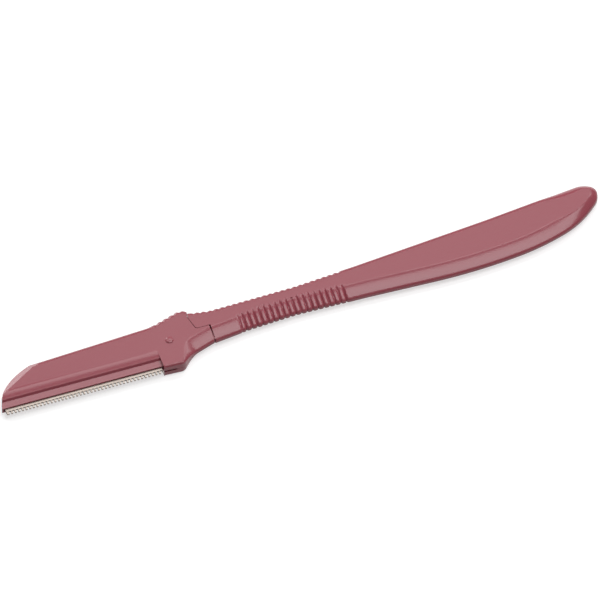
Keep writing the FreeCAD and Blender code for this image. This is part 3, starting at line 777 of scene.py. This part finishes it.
cut_head(front_shell, 1)
cut_head(back_shell, -1)
polished(front_shell, rose, "blade_head", "rose_plastic", "head_front_shell")
polished(back_shell, rose, "blade_head", "rose_plastic", "head_back_shell")

# %% [markdown]
# A pin with a domed head holds the shells together and catches the tongue. Its half section is spun round
# the pin's own line. The section starts as a ring, and the ring's side along the pin's line is deleted
# before the spin.

# %% Catch pin
PIP, PIP_RISE, PIP_STEPS, SHANK = 0.95, 0.32, 8, 0.75
FOOT, CHAMFER = 0.15, 0.1
ON_LINE = 0.001
half_section = [(0, FOOT), (SHANK - CHAMFER, FOOT), (SHANK, FOOT + CHAMFER), (SHANK, THICK), (PIP, THICK)]
half_section += [(PIP * math.cos(a), THICK + PIP_RISE * math.sin(a))
                 for a in (math.pi / 2 * k / PIP_STEPS for k in range(1, PIP_STEPS + 1))]
bpy.ops.object.select_all(action="DESELECT")
bpy.ops.mesh.primitive_circle_add(vertices=len(half_section), radius=0.01, fill_type="NOTHING")
catch_pin = bpy.context.active_object
catch_pin.name = catch_pin.data.name = "catch_pin_turned"
for vertex, (radius, z) in zip(catch_pin.data.vertices, half_section):
    vertex.co = Vector((PIN.x + radius, PIN.y, z)) * MM
pick(catch_pin, "EDGE", lambda edge: all(catch_pin.data.vertices[i].co.x < (PIN.x + ON_LINE) * MM
                                         for i in edge.vertices))
bpy.ops.mesh.delete(type="EDGE")
bpy.ops.mesh.select_all(action="SELECT")
bpy.ops.mesh.spin(steps=40, angle=2 * math.pi, center=(PIN.x * MM, PIN.y * MM, 0), axis=(0, 0, 1))
bpy.ops.mesh.select_all(action="SELECT")
bpy.ops.mesh.remove_doubles(threshold=0.002 * MM)
bpy.ops.mesh.normals_make_consistent(inside=False)
bpy.ops.object.mode_set(mode="OBJECT")
polished(catch_pin, rose, "blade_head", "rose_plastic", "catch_pin", angle=40)

# %% [markdown]
# Every solid of the CAD model gets its finish in its own material slots: the guard and the blade, which stay
# in view, and also those that the new pieces stand for.

# %% Dress the solids
FINISHES = {
    "handle": rose, "head_front_shell": rose, "head_back_shell": rose, "catch_pin": rose,
    "comb_guard": guard_finish, "blade": blade_finish,
}
for name, finish in FINISHES.items():
    for place in nodes[name].material_slots:
        place.material = finish
print("dressed", len(FINISHES), "solids")

# %% [markdown]
# The table is a plain white sheet. The camera sees it as white, and it keeps the soft shadow of the razor.
# Light that bounces off it meets a plain pale surface.

# %% Table
PAPER, GLOW = 0.50, 0.62
TABLE_SIZE, TABLE_DROP = 6.0, 0.00002


def table_finish():
    finish = Finish("white_table")
    path = finish.node("ShaderNodeLightPath")
    seen = path.out("Is Camera Ray") + path.out("Is Glossy Ray") + path.out("Is Transmission Ray")
    paper = finish.node("ShaderNodeBsdfDiffuse", None, {"Color": dye(PAPER, PAPER, PAPER)})
    glow = finish.node("ShaderNodeEmission", None, {"Color": dye(1, 1, 1), "Strength": GLOW})
    lifted = finish.node("ShaderNodeAddShader", None, {0: paper, 1: glow})
    both = finish.node("ShaderNodeMixShader", None, {0: seen, 1: paper, 2: lifted})
    return finish.done(both)


bpy.ops.object.select_all(action="DESELECT")
bpy.ops.mesh.primitive_plane_add(size=TABLE_SIZE, location=(0, 0, -TABLE_DROP))
table = bpy.context.active_object
table.name = "table"
table.data.materials.append(table_finish())
print("table", [round(v, 2) for v in table.dimensions])

# %% [markdown]
# The light is a plain white studio: an even dome and four panels. The one behind the razor is mirrored by
# the flat face, the narrow one above it by the strip along the blade, the one overhead by the broad slope of
# the lower edge, and the low one by the slope at the nose. Between their reflections lies the crease.

# %% Studio light
SKY = 0.20
PANEL_DISTANCE = 1.5
PANELS = {
    "back_panel": {"toward": (0.212, 0.640, 0.640), "width": 2.6, "height": 0.60, "power": 6.6},
    "top_panel": {"toward": (0.212, 0.453, 0.866), "width": 2.6, "height": 0.30, "power": 8.5},
    "front_panel": {"toward": (0.270, -0.117, 0.955), "width": 1.20, "height": 0.78, "power": 12.0},
    "low_panel": {"toward": (-0.210, 0.960, 0.196), "width": 0.87, "height": 0.58, "power": 6.5},
}

studio = bpy.data.worlds.new("studio")
bpy.context.scene.world = studio
studio.use_nodes = True
sky = studio.node_tree.nodes["Background"]
sky.inputs["Color"].default_value = dye(1, 1, 1)
sky.inputs["Strength"].default_value = SKY


def panel(name, toward, width, height, power):
    """A flat lamp that faces the razor, with its width along the razor."""
    data = bpy.data.lights.new(name, "AREA")
    data.shape = "RECTANGLE"
    data.size = width
    data.size_y = height
    data.energy = power
    light = bpy.data.objects.new(name, data)
    bpy.context.scene.collection.objects.link(light)
    aim = Vector(toward).normalized()
    light.location = aim * PANEL_DISTANCE
    across = (Vector((1, 0, 0)) - aim * aim.x).normalized()
    light.rotation_euler = Matrix((across, aim.cross(across), aim)).transposed().to_euler()


for name, setup in PANELS.items():
    panel(name, **setup)
print("panels:", ", ".join(PANELS))

# %% [markdown]
# The picture uses the plain Standard view.

# %% Settings and finish
bpy.context.scene.view_settings.view_transform = "Standard"
